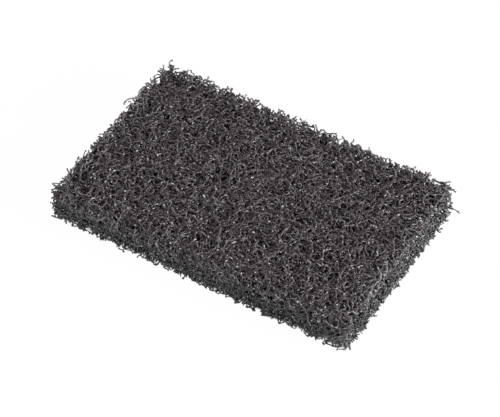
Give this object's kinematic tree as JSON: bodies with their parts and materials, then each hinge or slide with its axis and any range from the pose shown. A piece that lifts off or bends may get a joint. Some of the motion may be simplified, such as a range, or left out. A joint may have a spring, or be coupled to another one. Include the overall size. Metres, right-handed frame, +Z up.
{
  "type": "griddle pad",
  "caption": "Thick rectangular scouring pad of open, springy, resin-bonded black fibre web, lying flat.",
  "frame": {"origin": "centre of the underside, on the plane the pad rests on", "axes": "+X along the pad's length, +Y across its width, +Z up through its thickness"},
  "size_m": [0.1408, 0.089, 0.0176],
  "materials": {
    "fibre_web": "black crimped synthetic fibre coated with dull abrasive resin, with a few brighter specks of grit"
  },
  "bodies": {
    "root": {"fibre_web": "fibre_web"}
  },
  "joints": []
}
